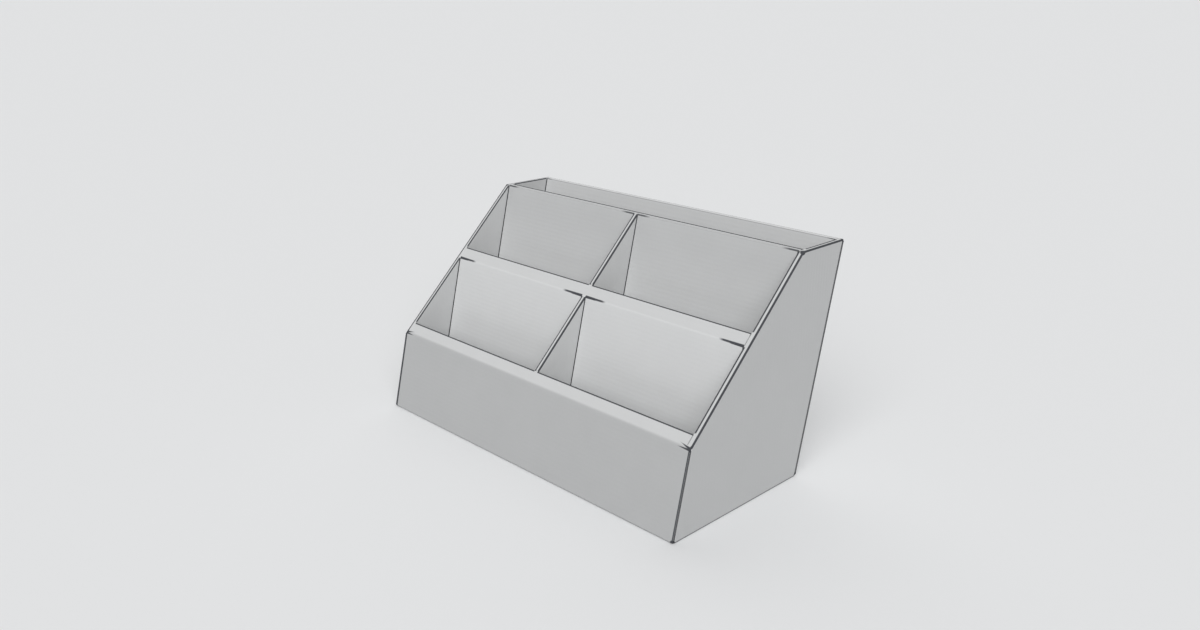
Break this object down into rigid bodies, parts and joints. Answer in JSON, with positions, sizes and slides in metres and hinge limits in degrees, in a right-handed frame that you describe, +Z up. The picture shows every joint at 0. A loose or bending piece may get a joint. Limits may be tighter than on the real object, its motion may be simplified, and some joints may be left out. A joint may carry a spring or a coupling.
{
  "type": "cardboard display stand",
  "caption": "Counter display stand folded from grey corrugated board, with stepped rows of divided pockets behind a sloping front and a full-width trough at the back.",
  "frame": {"origin": "on the surface that the stand rests on, under the middle of its outline", "axes": "+X along the pocket rows, -Y towards the customer, +Z up"},
  "size_m": [0.3, 0.1704, 0.166],
  "materials": {
    "coated_board": "pale grey micro-flute corrugated board with a smooth matt face"
  },
  "bodies": {
    "root": {"outer_wrap": "coated_board", "left_cheek": "coated_board", "right_cheek": "coated_board", "middle_wall": "coated_board", "upper_wall": "coated_board", "centre_divider": "coated_board"}
  },
  "joints": []
}
